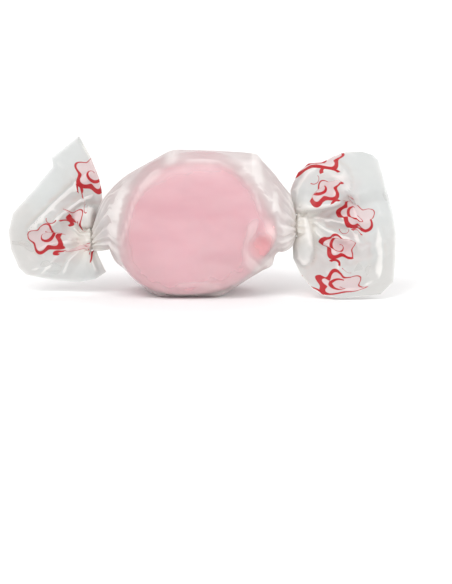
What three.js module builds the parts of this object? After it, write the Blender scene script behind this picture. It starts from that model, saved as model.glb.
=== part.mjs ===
import * as THREE from "three";

// One piece of taffy in its twisted waxed paper, standing on its rim on a small flat spot.
// X runs along the wrapper from twist to twist, a round face of the candy looks towards -Y,
// Z is up and the origin is on the flat spot. Sizes are in millimetres, angles in degrees.

// The candy: a soft puck of pulled sugar.
const CANDY_HALF_LENGTH = 12.2;
const CANDY_HALF_HEIGHT = 10.6;
const CANDY_HALF_THICKNESS = 7.4;
const CANDY_MIDDLE_ALONG = -0.5;
const CANDY_MIDDLE_HEIGHT = 11.45;
const CANDY_OUTLINE_POWER = 2.4;
const CANDY_EDGE_POWER = 3.8;
const CANDY_SKEW = 0.03;
const CANDY_WAVE = 0.008;
const CANDY_WAVES = 3;
const CANDY_WAVE_PHASE = 90;

// The paper: its thickness with the overlaps pressed together, and the room it leaves.
const PAPER_WALL = 0.4;
const PAPER_TO_CANDY = 0.35;
const DIMPLE = { x: 10.7, z: 8.8, radius: 2.4, depth: 1.7 };
const MOST_WALL_STRETCH = 2.2;

// The wrapped body: [x, height] along its top and its underside, and [x, half depth].
const BODY_TOP = [
  [-16.9, 10.6],
  [-16.3, 13.0],
  [-15.4, 14.8],
  [-14.5, 16.4],
  [-12.0, 19.0],
  [-8.0, 21.3],
  [-4.2, 23.2],
  [3.0, 23.2],
  [10.0, 22.5],
  [13.0, 18.9],
  [15.0, 15.4],
  [15.6, 13.2],
];
const BODY_UNDERSIDE = [
  [-16.9, 7.1],
  [-15.0, 7.2],
  [-14.1, 6.8],
  [-13.4, 5.4],
  [-12.0, 4.2],
  [-9.3, 1.7],
  [-7.0, 0.2],
  [-6.0, -0.15],
  [4.0, -0.15],
  [6.0, 0.7],
  [8.0, 2.0],
  [10.0, 3.3],
  [12.6, 4.9],
  [13.6, 6.3],
  [15.6, 7.4],
];
const BODY_HALF_DEPTH = [
  [-16.9, 1.9],
  [-15.6, 4.4],
  [-14.2, 6.8],
  [-12.6, 8.0],
  [-10.5, 8.3],
  [8.0, 8.3],
  [11.0, 7.9],
  [13.2, 6.9],
  [14.6, 4.9],
  [15.6, 2.4],
];
const BODY_SQUARENESS = [
  [-16.9, 2.1],
  [-14.0, 2.8],
  [-9.0, 4.6],
  [8.0, 4.6],
  [13.0, 3.0],
  [15.6, 2.1],
];
const GATHER_PLEATS = 11;
const GATHER_DEPTH = 0.22;
const GATHER_START = 11;
const GATHER_FULL = 14.5;

// The necks: the paper drawn tight and twisted between the body and each fan.
const NECK_RADIUS = 1.75;
const NECK_BORE = 0.7;
const NECK_STEPS = 3;
const NECK_TWIST = 90;

// The fans: flattened ends of the paper tube, leaning back a little.
// Outline points are [out from the knot, up from the knot] in the fan's own plane.
const FAN_LEAN = 10.5;
const FAN_HALF_GAP = 0.16;
const FAN_PUFF = 0.45;
const FAN_ROOT_REACH = 3.2;
const FOLD_TUCK = 1.5;
const FOLD_ROUND = 2.5;
const LEFT_FAN = {
  side: -1,
  knot: { x: -17.7, z: 8.75 },
  upperFold: [
    [0.3, 3.0],
    [-0.7, 6.7],
    [-1.4, 10.4],
    [0.2, 14.4],
    [1.8, 17.2],
  ],
  lowerFold: [
    [0.1, -2.2],
    [-1.0, -3.9],
    [-2.3, -5.2],
  ],
  cutEdge: [
    [-2.3, -5.2],
    [-0.6, -6.4],
    [1.9, -6.9],
    [6.1, -6.5],
    [10.6, -5.7],
    [12.1, -4.0],
    [13.2, -1.6],
    [13.6, 1.4],
    [12.9, 4.4],
    [9.4, 8.4],
    [6.5, 12.9],
    [4.4, 15.2],
    [1.8, 17.2],
  ],
  pleats: [
    [0.0, 0.2],
    [0.1, 1.1],
    [0.2, -0.3],
    [0.3, 0.9],
    [0.4, -0.4],
    [0.5, 0.7],
    [0.6, 1.6],
    [0.7, 0.6],
    [0.85, -0.5],
    [1.0, -1.6],
  ],
  curl: 0,
};
const RIGHT_FAN = {
  side: 1,
  knot: { x: 16.8, z: 11.2 },
  upperFold: [
    [-0.2, 2.6],
    [-0.9, 5.6],
    [-0.7, 7.0],
    [0.2, 9.0],
    [1.8, 10.3],
    [4.6, 10.6],
    [8.1, 12.2],
    [12.3, 11.6],
  ],
  lowerFold: [
    [-0.4, -3.0],
    [-0.7, -5.4],
    [0.3, -8.0],
    [2.2, -10.2],
    [4.0, -11.3],
    [7.0, -11.9],
    [13.3, -11.2],
  ],
  cutEdge: [
    [13.3, -11.2],
    [15.5, -9.2],
    [16.1, -5.4],
    [16.2, -1.1],
    [15.6, 2.2],
    [14.4, 6.9],
    [13.4, 10.3],
    [12.3, 11.6],
  ],
  pleats: [
    [0.0, 0.4],
    [0.1, 1.7],
    [0.22, 0.6],
    [0.3, -0.9],
    [0.38, 0.6],
    [0.46, -0.8],
    [0.54, 0.5],
    [0.63, -1.2],
    [0.72, 1.6],
    [0.86, 2.2],
    [1.0, -0.4],
  ],
  curl: 5.2,
};
const PLEAT_START = 1.2;
const PLEAT_FULL = 10;
const CURL_START = 2;
const CURL_FULL = 15;
const CURL_POWER = 3;

// How finely the surfaces are divided.
const AROUND = 48;
const BODY_STATIONS = [
  -16.9, -16.3, -15.4, -14.4, -13.2, -12.0, -10.2, -8.0, -6.1, -4.2, -0.6, 3.0, 5.2, 7.4, 10.0, 11.6,
  13.0, 14.2, 15.0, 15.6,
];
const FAN_SHARES = [0, 0.1, 0.2, 0.33, 0.47, 0.61, 0.75, 0.88, 1];
const CANDY_STEPS = 16;

const TURN = 2 * Math.PI;
const radians = THREE.MathUtils.degToRad;
const { clamp, lerp, smoothstep } = THREE.MathUtils;

// A smooth curve through [x, y] points that never swings past them, as a function of x.
function smoothCurve(points) {
  const slope = (i) => (points[i + 1][1] - points[i][1]) / (points[i + 1][0] - points[i][0]);
  const last = points.length - 1;
  const tangents = points.map((_, i) => {
    if (i === 0) {
      return slope(0);
    }
    if (i === last) {
      return slope(last - 1);
    }
    const product = slope(i - 1) * slope(i);
    return product <= 0 ? 0 : (2 * product) / (slope(i - 1) + slope(i));
  });
  return (x) => {
    const at = clamp(x, points[0][0], points[last][0]);
    let i = 0;
    while (i < last - 1 && at > points[i + 1][0]) {
      i += 1;
    }
    const [x0, y0] = points[i];
    const [x1, y1] = points[i + 1];
    const width = x1 - x0;
    const t = (at - x0) / width;
    const rise = t * t * (3 - 2 * t) * (y1 - y0);
    const lead = t * (1 - t) * (1 - t) * width * tangents[i];
    const tail = t * t * (t - 1) * width * tangents[i + 1];
    return y0 + rise + lead + tail;
  };
}

const bodyTop = smoothCurve(BODY_TOP);
const bodyUnderside = smoothCurve(BODY_UNDERSIDE);
const bodyHalfDepth = smoothCurve(BODY_HALF_DEPTH);
const bodySquareness = smoothCurve(BODY_SQUARENESS);

// How far the front is pressed in by the dimple beside the right gather.
function pressedIn(x, z) {
  const far = Math.hypot(x - DIMPLE.x, z - DIMPLE.z) / DIMPLE.radius;
  return DIMPLE.depth * Math.exp(-far * far);
}

// How much thicker a wall has to be drawn where the body's profile slopes by itself.
function wallStretch(profile, x) {
  const step = 0.2;
  const slope = (profile(x + step) - profile(x - step)) / (2 * step);
  return Math.min(MOST_WALL_STRETCH, Math.hypot(1, slope));
}

// One ring of the wrapped body at x, starting at the top and going round by the front.
function bodyRing(x, inset) {
  const top = bodyTop(x) - inset * wallStretch(bodyTop, x);
  const underside = bodyUnderside(x) + inset * wallStretch(bodyUnderside, x);
  const halfHeight = (top - underside) / 2;
  const middle = (top + underside) / 2;
  const halfDepth = bodyHalfDepth(x) - inset * wallStretch(bodyHalfDepth, x);
  const power = bodySquareness(x);
  const gathered = GATHER_DEPTH * smoothstep(Math.abs(x), GATHER_START, GATHER_FULL);
  const ring = [];
  for (let i = 0; i < AROUND; i += 1) {
    const angle = (i / AROUND) * TURN;
    const upward = Math.abs(Math.cos(angle) / halfHeight) ** power;
    const sideways = Math.abs(Math.sin(angle) / halfDepth) ** power;
    const reach = (upward + sideways) ** (-1 / power) + gathered * Math.cos(GATHER_PLEATS * angle);
    const z = middle + reach * Math.cos(angle);
    const side = Math.sin(angle);
    const pressed = Math.max(0, side) * pressedIn(x, z);
    ring.push(new THREE.Vector3(x, pressed - reach * side, Math.max(z, inset)));
  }
  return ring;
}

// A round ring of the neck, turned about X by the twist so far.
function neckRing(centre, radius, twist) {
  const ring = [];
  for (let i = 0; i < AROUND; i += 1) {
    const angle = (i / AROUND) * TURN + twist;
    const y = centre.y - radius * Math.sin(angle);
    ring.push(new THREE.Vector3(centre.x, y, centre.z + radius * Math.cos(angle)));
  }
  return ring;
}

// The neck between the body's last ring and the fan's knot, from the body outwards.
function neckRings(fan, radius) {
  const end = fan.side < 0 ? BODY_STATIONS[0] : BODY_STATIONS[BODY_STATIONS.length - 1];
  const start = new THREE.Vector3(end, 0, (bodyTop(end) + bodyUnderside(end)) / 2);
  const knot = new THREE.Vector3(fan.knot.x, 0, fan.knot.z);
  const rings = [];
  for (let step = 1; step < NECK_STEPS; step += 1) {
    const share = step / NECK_STEPS;
    const centre = start.clone().lerp(knot, share);
    rings.push(neckRing(centre, radius, radians(NECK_TWIST) * share));
  }
  return rings;
}

// An outline through [out, up] points as its angle at a given distance from the knot.
function foldAngle(points) {
  const polar = points.map(([out, up]) => [Math.hypot(out, up), Math.atan2(up, out)]);
  return smoothCurve(polar);
}

// The cut edge as its distance from the knot, by the share of the way from lower to upper corner.
function cutReach(points) {
  const polar = points.map(([out, up]) => [Math.atan2(up, out), Math.hypot(out, up)]);
  const low = polar[0][0];
  const high = polar[polar.length - 1][0];
  return smoothCurve(polar.map(([angle, reach]) => [(angle - low) / (high - low), reach]));
}

// A fan's own measures, worked out once from its outline and pleats.
function fanShape(fan) {
  return {
    ...fan,
    upper: foldAngle(fan.upperFold),
    lower: foldAngle(fan.lowerFold),
    reach: cutReach(fan.cutEdge),
    relief: smoothCurve(fan.pleats),
  };
}

// Depth of the pleats towards the front, at a share across the fan and a distance from the knot.
function pleatDepth(shape, across, distance) {
  const opened = smoothstep(distance, PLEAT_START, PLEAT_FULL);
  const curl = shape.curl * (1 - across) ** CURL_POWER * smoothstep(distance, CURL_START, CURL_FULL);
  return shape.relief(across) * opened + curl;
}

// How much thicker a fan's wall is drawn where its pleats are steep.
function pleatStretch(shape, across, distance, width) {
  const step = 0.02;
  const rise = pleatDepth(shape, across + step, distance) - pleatDepth(shape, across - step, distance);
  return Math.min(MOST_WALL_STRETCH, Math.hypot(1, rise / (2 * step * width)));
}

// One ring of a fan at a share of the way out: its front from the upper fold down, then its back.
function fanRing(shape, share, inset) {
  const lean = radians(FAN_LEAN);
  const outwards = new THREE.Vector3(shape.side, 0, 0);
  const upwards = new THREE.Vector3(0, Math.sin(lean), Math.cos(lean));
  const forwards = new THREE.Vector3(0, -Math.cos(lean), Math.sin(lean));
  const ring = [];
  for (let i = 0; i < AROUND; i += 1) {
    const angle = (i / AROUND) * TURN + radians(NECK_TWIST);
    const turn = (angle / TURN) % 1;
    const whole = Math.abs(1 - 2 * turn);
    const low = shape.lower(share * shape.reach(0));
    const high = shape.upper(share * shape.reach(1));
    const width = (high - low) * Math.max(share * shape.reach(whole), FAN_ROOT_REACH);
    const across = 0.5 + (whole - 0.5) * (1 - (2 * FOLD_TUCK * inset) / width);
    const distance = share * shape.reach(across);
    const direction = lerp(low, high, across);
    const opened = smoothstep(distance, 0, FAN_ROOT_REACH);
    const fullness = Math.sin(Math.PI * whole) ** 0.5;
    const wall = (PAPER_WALL - inset) * pleatStretch(shape, across, distance, width);
    const halfGap = (FAN_HALF_GAP + FAN_PUFF * share * fullness + wall) * Math.min(1, FOLD_ROUND * fullness);
    const depth = halfGap * Math.sign(0.5 - turn) + pleatDepth(shape, across, distance);
    const radius = (1 - opened) * (inset > 0 ? NECK_BORE : NECK_RADIUS);
    const point = new THREE.Vector3(shape.knot.x, 0, shape.knot.z);
    point.addScaledVector(outwards, distance * Math.cos(direction));
    point.addScaledVector(upwards, distance * Math.sin(direction) + radius * Math.cos(angle));
    point.addScaledVector(forwards, depth * opened + radius * Math.sin(angle));
    ring.push(point);
  }
  return ring;
}

// Every ring of the paper tube from the left cut edge to the right one.
function paperRings(inset) {
  const radius = inset > 0 ? NECK_BORE : NECK_RADIUS;
  const left = fanShape(LEFT_FAN);
  const right = fanShape(RIGHT_FAN);
  return [
    ...FAN_SHARES.map((share) => fanRing(left, share, inset)).reverse(),
    ...neckRings(left, radius).reverse(),
    ...BODY_STATIONS.map((x) => bodyRing(x, inset)),
    ...neckRings(right, radius),
    ...FAN_SHARES.map((share) => fanRing(right, share, inset)),
  ];
}

// Joins a loop of rings into one closed surface: each ring to the next, and the last to the first.
function closedSurface(rings) {
  const positions = rings.flat().flatMap((point) => point.toArray());
  const indices = [];
  rings.forEach((ring, r) => {
    const next = (r + 1) % rings.length;
    ring.forEach((_, i) => {
      const j = (i + 1) % AROUND;
      const corners = [r * AROUND + i, r * AROUND + j, next * AROUND + j, next * AROUND + i];
      indices.push(corners[0], corners[1], corners[2], corners[0], corners[2], corners[3]);
    });
  });
  const geometry = new THREE.BufferGeometry();
  geometry.setAttribute("position", new THREE.Float32BufferAttribute(positions, 3));
  geometry.setIndex(indices);
  geometry.computeVertexNormals();
  return geometry;
}

// The wrapper: its outer surface one way, then its inner surface back.
function wrapperGeometry() {
  return closedSurface([...paperRings(0), ...paperRings(PAPER_WALL).reverse()]);
}

// A signed power, for the candy's rounded outline and edges.
function signedPower(value, power) {
  return Math.sign(value) * Math.abs(value) ** power;
}

// A point of the candy: direction runs round its rim from +X over the top, side from face to face.
function candyPoint(direction, side) {
  const ripple = CANDY_WAVE * Math.cos(CANDY_WAVES * direction + radians(CANDY_WAVE_PHASE));
  const wave = 1 + CANDY_SKEW * Math.sin(2 * direction) + ripple;
  const inward = signedPower(Math.cos(side), 2 / CANDY_EDGE_POWER) * wave;
  const along = CANDY_HALF_LENGTH * inward * signedPower(Math.cos(direction), 2 / CANDY_OUTLINE_POWER);
  const up = CANDY_HALF_HEIGHT * inward * signedPower(Math.sin(direction), 2 / CANDY_OUTLINE_POWER);
  const x = CANDY_MIDDLE_ALONG + along;
  const z = CANDY_MIDDLE_HEIGHT + up;
  const y = CANDY_HALF_THICKNESS * signedPower(Math.sin(side), 2 / CANDY_EDGE_POWER);
  const pressed = side < 0 ? pressedIn(x, z) : 0;
  return new THREE.Vector3(x, y + pressed, Math.max(z, PAPER_WALL + PAPER_TO_CANDY));
}

// The candy: bands round the rim from the front face to the back one, closed at both middles.
function candyGeometry() {
  const positions = [];
  const indices = [];
  for (let band = 1; band < CANDY_STEPS; band += 1) {
    const side = (band / CANDY_STEPS - 0.5) * Math.PI;
    for (let i = 0; i < AROUND; i += 1) {
      positions.push(...candyPoint((i / AROUND) * TURN, side).toArray());
    }
  }
  const rows = CANDY_STEPS - 1;
  for (let row = 0; row < rows - 1; row += 1) {
    for (let i = 0; i < AROUND; i += 1) {
      const j = (i + 1) % AROUND;
      const corners = [row * AROUND + i, (row + 1) * AROUND + i, (row + 1) * AROUND + j, row * AROUND + j];
      indices.push(corners[0], corners[1], corners[2], corners[0], corners[2], corners[3]);
    }
  }
  const front = rows * AROUND;
  const back = front + 1;
  positions.push(...candyPoint(0, -Math.PI / 2).toArray(), ...candyPoint(0, Math.PI / 2).toArray());
  for (let i = 0; i < AROUND; i += 1) {
    const j = (i + 1) % AROUND;
    indices.push(front, i, j);
    indices.push(back, (rows - 1) * AROUND + j, (rows - 1) * AROUND + i);
  }
  const geometry = new THREE.BufferGeometry();
  geometry.setAttribute("position", new THREE.Float32BufferAttribute(positions, 3));
  geometry.setIndex(indices);
  geometry.computeVertexNormals();
  return geometry;
}

const candyMaterial = new THREE.MeshStandardMaterial({ color: 0xf0b4bf, roughness: 0.5, metalness: 0 });
const paperMaterial = new THREE.MeshStandardMaterial({ color: 0xe9e4e0, roughness: 0.42, metalness: 0 });

const taffy = new THREE.Mesh(candyGeometry(), candyMaterial);
taffy.name = "taffy";

const wrapper = new THREE.Mesh(wrapperGeometry(), paperMaterial);
wrapper.name = "wrapper";

const group = new THREE.Group();
group.add(taffy, wrapper);

export default group;
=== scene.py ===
"""One pink taffy in twisted waxed paper: its looks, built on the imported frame.

Sizes are in millimetres and angles in degrees unless a name says otherwise. X runs along the
wrapper, a round face of the candy looks towards -Y and Z is up, as in the frame. A point of a
fan is given as out from the knot and up from the knot, in the plane of the fan.
"""

import logging
import math
from dataclasses import dataclass, field, fields
from enum import Enum
from types import SimpleNamespace
from typing import Self

import bpy
import numpy as np
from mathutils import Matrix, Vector
from mathutils.bvhtree import BVHTree


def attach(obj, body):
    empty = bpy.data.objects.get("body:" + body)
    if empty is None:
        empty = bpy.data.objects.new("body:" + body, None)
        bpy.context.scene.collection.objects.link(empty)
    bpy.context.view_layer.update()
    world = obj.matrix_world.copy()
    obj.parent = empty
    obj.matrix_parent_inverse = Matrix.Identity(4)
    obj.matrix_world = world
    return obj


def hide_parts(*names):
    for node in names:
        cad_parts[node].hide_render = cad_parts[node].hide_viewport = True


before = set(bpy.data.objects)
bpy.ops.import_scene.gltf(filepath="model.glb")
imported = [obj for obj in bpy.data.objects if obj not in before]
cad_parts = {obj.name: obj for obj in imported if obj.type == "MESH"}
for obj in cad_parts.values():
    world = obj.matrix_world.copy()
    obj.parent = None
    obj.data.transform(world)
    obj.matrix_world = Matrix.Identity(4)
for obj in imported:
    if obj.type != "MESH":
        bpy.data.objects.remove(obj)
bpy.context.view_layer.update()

log = logging.getLogger("wrapped_taffy")

Point2 = tuple[float, float]
Point3 = tuple[float, float, float]
Profile = tuple[Point2, ...]
Colour = tuple[float, float, float, float]

MM = 0.001
TURN = 2 * math.pi
DEGREE = math.pi / 180
BODY = "root"
DIMPLE: Point2 = (10.7, 8.8)
RIDGE_SHARPNESS = 1.35
CREASE_FADE = 0.4
CREASE_SPACING = 0.8
CREASE_SPREAD = 32.0
CREASE_HALVES: Point2 = (1.2, 3.4)
CREASE_LEAST = 0.35
CREASE_WIDTHS: Point2 = (0.5, 2.2)


class Side(Enum):
    """The end of the wrapper that a fan is on, as its direction along X."""

    LEFT = -1
    RIGHT = 1


class Layer(Enum):
    """One of the two sheets that a flattened fan is made of, as its direction to the front."""

    FRONT = 1
    BACK = -1


def smooth_step(value: np.ndarray, low: float, high: float) -> np.ndarray:
    """Eased share of the way from low to high.

    Args:
        value: The numbers to place between low and high.
        low: Where the share is 0.
        high: Where the share is 1.

    Returns:
        The share for each number, from 0 to 1.
    """
    share = np.clip((np.asarray(value, float) - low) / (high - low), 0.0, 1.0)
    return share * share * (3 - 2 * share)


def taut(value: np.ndarray, points: Profile, blunt: float) -> np.ndarray:
    """A line drawn taut through points, with its corners blunted.

    Args:
        value: Where the line is read.
        points: The corners, by rising first number.
        blunt: How far each side of a corner the bend reaches.

    Returns:
        The height of the line at each value.
    """
    places, heights = zip(*points)
    offsets = np.linspace(-1, 1, 9) * blunt
    return sum(np.interp(value + offset, places, heights) for offset in offsets) / len(offsets)


def zigzag(phase: np.ndarray) -> np.ndarray:
    """A wave of straight slopes between -1 and 1, which repeats with each whole number."""
    return 1 - 4 * np.abs(phase % 1 - 0.5)


def divided(points: Profile, pieces: int = 12) -> np.ndarray:
    """The points of an outline with each straight stretch cut into equal pieces.

    Args:
        points: The corners of the outline.
        pieces: How many pieces each stretch is cut into.

    Returns:
        The corners and the points between them.
    """
    corners = np.array(points, float)
    shares = np.arange(pieces)[:, None] / pieces
    parts = [a + (b - a) * shares for a, b in zip(corners[:-1], corners[1:])]
    return np.vstack([*parts, corners[-1:]])


@dataclass(frozen=True)
class Ridge:
    """A crest pressed into the paper along a line of straight stretches.

    The line has its own slope on its left and on its right, seen from its first point. A steep
    slope on one side makes it the lip of a fold that lies on top.
    """

    path: Profile
    height: float
    left: float
    right: float
    fade: float = 0.25

    def raised(self, out: np.ndarray, up: np.ndarray) -> np.ndarray:
        """The height of the ridge.

        Args:
            out: The points' first number.
            up: Their second number.

        Returns:
            The height at each point.
        """
        corners = np.array(self.path, float)
        lengths = np.hypot(*np.diff(corners, axis=0).T)
        total, passed = lengths.sum(), 0.0
        nearest = np.full(np.shape(out), np.inf)
        share = np.zeros(np.shape(out))
        slope = np.full(np.shape(out), np.inf)
        for start, end, length in zip(corners[:-1], corners[1:], lengths):
            along = (end - start) / length
            forward = (out - start[0]) * along[0] + (up - start[1]) * along[1]
            beside = (up - start[1]) * along[0] - (out - start[0]) * along[1]
            within = np.clip(forward, 0, length)
            off = np.hypot(out - start[0] - within * along[0], up - start[1] - within * along[1])
            closer = off < nearest
            nearest = np.where(closer, off, nearest)
            share = np.where(closer, (passed + within) / total, share)
            slope = np.where(closer, off / np.where(beside > 0, self.left, self.right), slope)
            passed += length
        ends = smooth_step(share, 0.0, self.fade) * smooth_step(1 - share, 0.0, self.fade)
        return self.height * np.clip(1 - slope, 0, 1) ** RIDGE_SHARPNESS * ends


@dataclass(frozen=True)
class Puff:
    """A rounded bulge of the paper, on an oval; a negative height makes it a hollow.

    A taper narrows the oval towards its upper end and widens it towards its lower one.
    """

    centre: Point2
    radii: Point2
    turn: float
    height: float
    roundness: float = 1.0
    taper: float = 0.0

    def cover(self, out: np.ndarray, up: np.ndarray) -> np.ndarray:
        """How far the bulge draws the pleats under it flat.

        Args:
            out: The points' first number.
            up: Their second number.

        Returns:
            The share at each point, from 0 outside the oval to 1 in its middle.
        """
        cos, sin = math.cos(self.turn * DEGREE), math.sin(self.turn * DEGREE)
        across, along = out - self.centre[0], up - self.centre[1]
        second = (along * cos - across * sin) / self.radii[1]
        narrowed = self.radii[0] * (1 - self.taper * np.clip(second, -1, 1))
        first = (across * cos + along * sin) / narrowed
        return np.clip(1 - first**2 - second**2, 0, 1) ** self.roundness

    def raised(self, out: np.ndarray, up: np.ndarray) -> np.ndarray:
        """Height of the bulge at points out and up."""
        return self.height * self.cover(out, up)


Feature = Ridge | Puff


def drawn_crease(draw: np.random.Generator, ends: tuple[np.ndarray, np.ndarray], height: float,
                 least_share: float, widths: Point2) -> Ridge:
    """A straight crease whose height and slopes are drawn at random.

    Args:
        draw: The source of the random numbers.
        ends: The two ends.
        height: The most that it stands out or in.
        least_share: The least share of that height.
        widths: The least and the most width of a slope.

    Returns:
        The crease.
    """
    rise = height * draw.uniform(least_share, 1.0) * draw.choice((-1, 1, 1))
    left, right = draw.uniform(*widths, size=2)
    return Ridge(tuple(tuple(end) for end in ends), rise, left, right, CREASE_FADE)


def random_creases(seed: int, count: int, near: float, far: float, lowest: float,
                   highest: float, height: float) -> tuple[Ridge, ...]:
    """Straight creases at random, most of them running away from the knot.

    Args:
        seed: The seed of the draw.
        count: How many creases.
        near: The least distance of their middles from the knot.
        far: The most distance of their middles from the knot.
        lowest: The lowest direction of a middle from the knot.
        highest: The highest direction of a middle from the knot.
        height: The most that a crease stands out or in.

    Returns:
        The creases.
    """
    draw = np.random.default_rng(seed)
    creases = []
    for _ in range(count):
        distance = near + (far - near) * draw.random() ** CREASE_SPACING
        direction = math.radians(draw.uniform(lowest, highest))
        heading = direction + math.radians(draw.normal(0, CREASE_SPREAD))
        half = draw.uniform(*CREASE_HALVES)
        middle = distance * np.array([math.cos(direction), math.sin(direction)])
        step = half * np.array([math.cos(heading), math.sin(heading)])
        ends = (middle - step, middle + step)
        creases.append(drawn_crease(draw, ends, height, CREASE_LEAST, CREASE_WIDTHS))
    return tuple(creases)


@dataclass
class Neck:
    """The twisted neck between the body and a fan."""

    radius: float = 1.75
    twist: float = 90.0
    rows: int = 8
    pleats: int = 11
    pleat_depth: float = 0.13
    waist: float = 0.16

    def circle(self, turns: np.ndarray, twist_share: float) -> tuple[np.ndarray, np.ndarray]:
        """A ring of the neck about its own middle.

        Args:
            turns: The place of each column round the tube, from 0 to 1.
            twist_share: How much of the twist the ring has.

        Returns:
            How far each column is to the front and how far it is up.
        """
        angle = turns * TURN + math.radians(self.twist) * twist_share
        waist = 1 - self.waist * math.sin(math.pi * twist_share)
        radius = self.radius * (waist + self.pleat_depth * np.cos(self.pleats * turns * TURN))
        return radius * np.sin(angle), radius * np.cos(angle)

    def rings(self, start: np.ndarray, knot: np.ndarray, turns: np.ndarray) -> np.ndarray:
        """The rings between the end of the body and the knot.

        Args:
            start: The middle of the body's last ring.
            knot: The place of the knot.
            turns: The place of each column round the tube, from 0 to 1.

        Returns:
            The points, ring by ring.
        """
        rings = []
        for step in range(1, self.rows):
            share = step / self.rows
            centre = start + (knot - start) * share
            front, up = self.circle(turns, share)
            ring = np.column_stack([np.full(len(turns), centre[0]), -front, centre[2] + up])
            rings.append(ring)
        return np.array(rings)


@dataclass
class WrappedBody:
    """The paper round the candy, drawn to a neck at each end."""

    top: Profile = (
        (-17.3, 10.3), (-16.6, 12.8), (-15.5, 15.2), (-14.5, 16.5), (-12.0, 19.1), (-8.0, 21.3),
        (-4.2, 23.5), (3.0, 23.3), (10.0, 22.8), (13.0, 19.1), (15.6, 15.7), (16.2, 12.9),
    )
    underside: Profile = (
        (-17.3, 7.3), (-16.4, 7.1), (-15.0, 7.5), (-14.1, 7.8), (-13.8, 5.9), (-11.9, 4.4),
        (-8.8, 1.4), (-7.0, 0.2), (-6.2, -0.15), (3.8, -0.15), (6.0, 1.1), (8.0, 2.5),
        (10.9, 4.3), (12.6, 5.0), (13.0, 7.2), (14.0, 6.9), (15.7, 7.7), (16.2, 9.4),
    )
    half_depth: Profile = (
        (-17.3, 1.6), (-16.4, 3.2), (-15.6, 4.6), (-14.2, 6.8), (-12.6, 8.0), (-10.5, 8.3),
        (8.0, 8.3), (11.0, 7.9), (13.2, 6.9), (14.8, 5.2), (15.7, 3.4), (16.2, 1.8),
    )
    squareness: Profile = (
        (-17.3, 2.1), (-14.0, 2.8), (-9.0, 4.6), (8.0, 4.6), (13.0, 3.0), (16.2, 2.1),
    )
    start: float = -17.3
    end: float = 16.2
    rows: int = 70
    crowding: float = 0.25
    blunt: float = 0.3
    dimple_radius: float = 1.9
    dimple_depth: float = 0.7
    # Where the paper is drawn fully against the bulge beside the dimple, so the candy's painted
    # highlight there shows through.
    squeezed: Puff = Puff((12.3, 11.2), (1.7, 3.0), 0.0, 1.0, 0.8)
    pleats: int = 13
    pleat_depth: float = 0.42
    pleats_from: Point2 = (10.5, 15.5)
    pleat_shares: Point2 = (0.6, 0.4)
    second_pleats: Point2 = (1.62, 0.3)
    wander: tuple[Point3, ...] = ((3, 0.8, 0.35), (5, 2.1, 0.2))
    wander_share: float = 2.2
    face_features: tuple[Feature, ...] = (
        Puff((12.8, 10.0), (2.4, 4.4), 0.0, -0.7),
        Ridge(((10.2, 14.4), (9.5, 12.3), (9.0, 9.9), (9.0, 8.2), (9.4, 6.4), (10.4, 4.8),
               (11.6, 4.0)), 0.7, 1.0, 2.4, 0.25),
        Ridge(((-4.5, 2.5), (-0.5, 2.9), (4.5, 2.4)), 0.3, 0.9, 0.9),
        Ridge(((-5.4, 22.0), (-9.0, 18.6), (-10.4, 16.2), (-12.1, 10.9), (-12.9, 8.6)),
              0.42, 0.8, 1.0, 0.12),
        Ridge(((-12.2, 18.4), (-13.0, 16.2), (-13.4, 13.5), (-13.6, 9.4)), 0.55, 0.7, 0.7, 0.2),
        Ridge(((-3.0, 22.9), (3.4, 22.7), (7.4, 20.9), (9.7, 18.0), (10.8, 13.8)),
              0.4, 1.0, 0.8, 0.1),
    )
    creases: int = 60
    crease_height: float = 0.34
    crease_least: float = 0.3
    crease_starts: Point2 = (9.5, 13.0)
    crease_lengths: Point2 = (2.0, 5.5)
    crease_widths: Point2 = (0.7, 2.4)
    crease_spread: float = 24.0
    crease_seed: int = 12
    girth: float = 70.0

    def stations(self) -> np.ndarray:
        """Spaces the body's rings, closer together near the necks.

        Returns:
            The place of each ring along X.
        """
        share = np.linspace(-1, 1, self.rows)
        eased = share * (1 + self.crowding - self.crowding * share**2)
        middle, reach = (self.start + self.end) / 2, (self.end - self.start) / 2
        return middle + reach * eased

    def end_centre(self, side: Side) -> np.ndarray:
        """The middle of the body's last ring.

        Args:
            side: The side that the ring is on.

        Returns:
            The point.
        """
        x = self.start if side is Side.LEFT else self.end
        top, low = taut(x, self.top, self.blunt), taut(x, self.underside, self.blunt)
        return np.array([x, 0.0, (top + low) / 2])

    def rings(self, turns: np.ndarray) -> np.ndarray:
        """The rings of the body before its pleats.

        Args:
            turns: The place of each column round the tube, from 0 to 1.

        Returns:
            The points, ring by ring from left to right.
        """
        x = self.stations()[:, None]
        top, low = taut(x, self.top, self.blunt), taut(x, self.underside, self.blunt)
        half_height, middle = (top - low) / 2, (top + low) / 2
        half_depth = taut(x, self.half_depth, self.blunt)
        power = taut(x, self.squareness, self.blunt)
        angle = (turns * TURN)[None, :]
        upward = np.abs(np.cos(angle) / half_height) ** power
        sideways = np.abs(np.sin(angle) / half_depth) ** power
        reach = (upward + sideways) ** (-1 / power)
        y = -reach * np.sin(angle)
        z = middle + reach * np.cos(angle)
        return np.stack([np.broadcast_to(x, y.shape), y, z], axis=-1)

    def pressed(self, places: np.ndarray, turns: np.ndarray) -> np.ndarray:
        """How far the creases and the dimple of the front face stand out from the taut shape.

        Args:
            places: The points of the taut rings.
            turns: The place of each column round the tube.

        Returns:
            The height at each point.
        """
        x, z = places[..., 0], places[..., 2]
        frontness = np.clip(np.sin(turns * TURN), 0, 1) ** 0.5
        creased = sum(feature.raised(x, z) for feature in self.face_features)
        return (creased - self.dimple_depth * self.dimpled(places)) * frontness

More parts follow.
